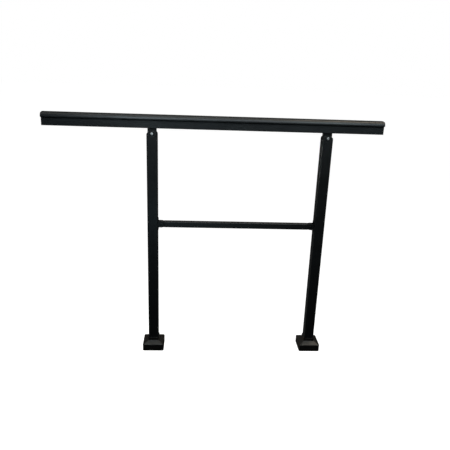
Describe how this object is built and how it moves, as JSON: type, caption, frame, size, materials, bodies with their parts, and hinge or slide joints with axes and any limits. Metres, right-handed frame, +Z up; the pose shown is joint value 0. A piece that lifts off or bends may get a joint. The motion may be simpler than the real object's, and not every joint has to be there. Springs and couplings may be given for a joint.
{
  "type": "pool handrail",
  "caption": "Free-standing step handrail: rounded grip rail on square posts with tilting heads, a hinged mid rail and sliding square base covers.",
  "frame": {"origin": "on the ground, below the middle of the rail's length and width", "axes": "+X along the rail, +Y away from the side with the bolt heads, +Z up"},
  "size_m": [1.2, 0.082, 0.919],
  "materials": {
    "rail_coat": "fine satin powder coat",
    "post_coat": "fine satin powder coat",
    "mid_rail_coat": "fine satin powder coat",
    "cover_coat": "satin powder coat on a thin shell",
    "casting_coat": "powder coat over a casting",
    "black_plastic": "finely grained",
    "black_steel": "black coated screw",
    "stainless": "bright stainless"
  },
  "bodies": {
    "left_post": {"post_tube_left": "post_coat", "post_head_left": "casting_coat", "base_plate_left": "casting_coat", "base_socket_left": "casting_coat", "base_screw_left_inner": "stainless", "base_screw_left_outer": "stainless", "head_screw_left_inner": "black_steel", "head_screw_left_outer": "black_steel", "pivot_bolt_left": "stainless", "pivot_washer_left": "stainless", "lock_nut_left": "stainless", "mid_bracket_left": "casting_coat", "mid_pin_left": "black_steel", "bracket_screw_left_lower": "black_steel", "bracket_screw_left_upper": "black_steel"},
    "top_rail": {"top_rail": "rail_coat", "end_cap_left": "black_plastic", "end_cap_right": "black_plastic", "rail_bracket_left": "casting_coat", "rail_bracket_right": "casting_coat", "jack_screw_left_a": "stainless", "jack_screw_left_b": "stainless", "jack_screw_right_a": "stainless", "jack_screw_right_b": "stainless", "slot_filler_left": "black_plastic", "slot_filler_middle": "black_plastic", "slot_filler_right": "black_plastic"},
    "right_post": {"post_tube_right": "post_coat", "post_head_right": "casting_coat", "base_plate_right": "casting_coat", "base_socket_right": "casting_coat", "base_screw_right_inner": "stainless", "base_screw_right_outer": "stainless", "head_screw_right_inner": "black_steel", "head_screw_right_outer": "black_steel", "pivot_bolt_right": "stainless", "pivot_washer_right": "stainless", "lock_nut_right": "stainless", "mid_bracket_right": "casting_coat", "mid_pin_right": "black_steel", "bracket_screw_right_lower": "black_steel", "bracket_screw_right_upper": "black_steel"},
    "mid_rail": {"mid_rail_tube": "mid_rail_coat", "mid_plug_left": "casting_coat", "plug_screw": "black_steel"},
    "mid_rail_end": {"mid_plug_right": "casting_coat"},
    "base_cover_left": {"base_cover_left": "cover_coat"},
    "base_cover_right": {"base_cover_right": "cover_coat"}
  },
  "joints": [
    {"name": "rail_tilt", "type": "hinge", "parent": "left_post", "child": "top_rail", "pos_m": [-0.2225, 0, 0.8535], "axis": [0, 1, 0], "range_deg": [-45, 45]},
    {"name": "right_post_pivot", "type": "hinge", "parent": "top_rail", "child": "right_post", "pos_m": [0.4025, 0, 0.8535], "axis": [0, 1, 0], "range_deg": [-46, 46]},
    {"name": "mid_rail_pivot", "type": "hinge", "parent": "left_post", "child": "mid_rail", "pos_m": [-0.1901, 0, 0.518], "axis": [0, 1, 0], "range_deg": [-50, 50]},
    {"name": "mid_rail_end_pivot", "type": "hinge", "parent": "right_post", "child": "mid_rail_end", "pos_m": [0.3701, 0, 0.518], "axis": [0, 1, 0], "range_deg": [-50, 50]},
    {"name": "base_cover_left_slide", "type": "slide", "parent": "left_post", "child": "base_cover_left", "axis": [0, 0, 1], "range_m": [0, 0.12]},
    {"name": "base_cover_right_slide", "type": "slide", "parent": "right_post", "child": "base_cover_right", "axis": [0, 0, 1], "range_m": [0, 0.12]}
  ],
  "couplings": [
    {"joint": "right_post_pivot", "follows": "rail_tilt", "ratio": -1},
    {"joint": "mid_rail_pivot", "follows": "rail_tilt", "ratio": 1.104},
    {"joint": "mid_rail_end_pivot", "follows": "rail_tilt", "ratio": 1.104}
  ]
}
